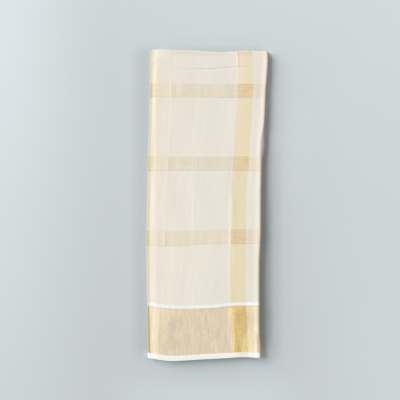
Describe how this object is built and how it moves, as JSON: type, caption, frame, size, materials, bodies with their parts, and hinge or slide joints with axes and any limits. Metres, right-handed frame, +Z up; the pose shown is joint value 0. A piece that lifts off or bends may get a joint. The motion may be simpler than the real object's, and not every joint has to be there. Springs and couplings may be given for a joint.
{
  "type": "folded dhoti cloth",
  "caption": "Long off-white handloom dhoti cloth with gold stripes, folded into a flat narrow bundle that lies on a surface.",
  "frame": {"origin": "centre of the bundle's bounding box at its underside, on the surface it lies on", "axes": "+Y along the bundle towards the fold that closes its length, +X towards the side with the selvedges, +Z up through the plies"},
  "size_m": [0.3552, 0.9015, 0.0216],
  "materials": {
    "woven_cloth": "fine plain-woven off-white cotton with gold metallic stripes along it, beige-gold bands across it and a gold block at the end",
    "white_hem": "plain-woven white cotton, turned and stitched"
  },
  "bodies": {
    "root": {"upper_panel": "woven_cloth", "end_hem": "white_hem", "inner_layers": "woven_cloth", "under_panel": "woven_cloth"}
  },
  "joints": []
}
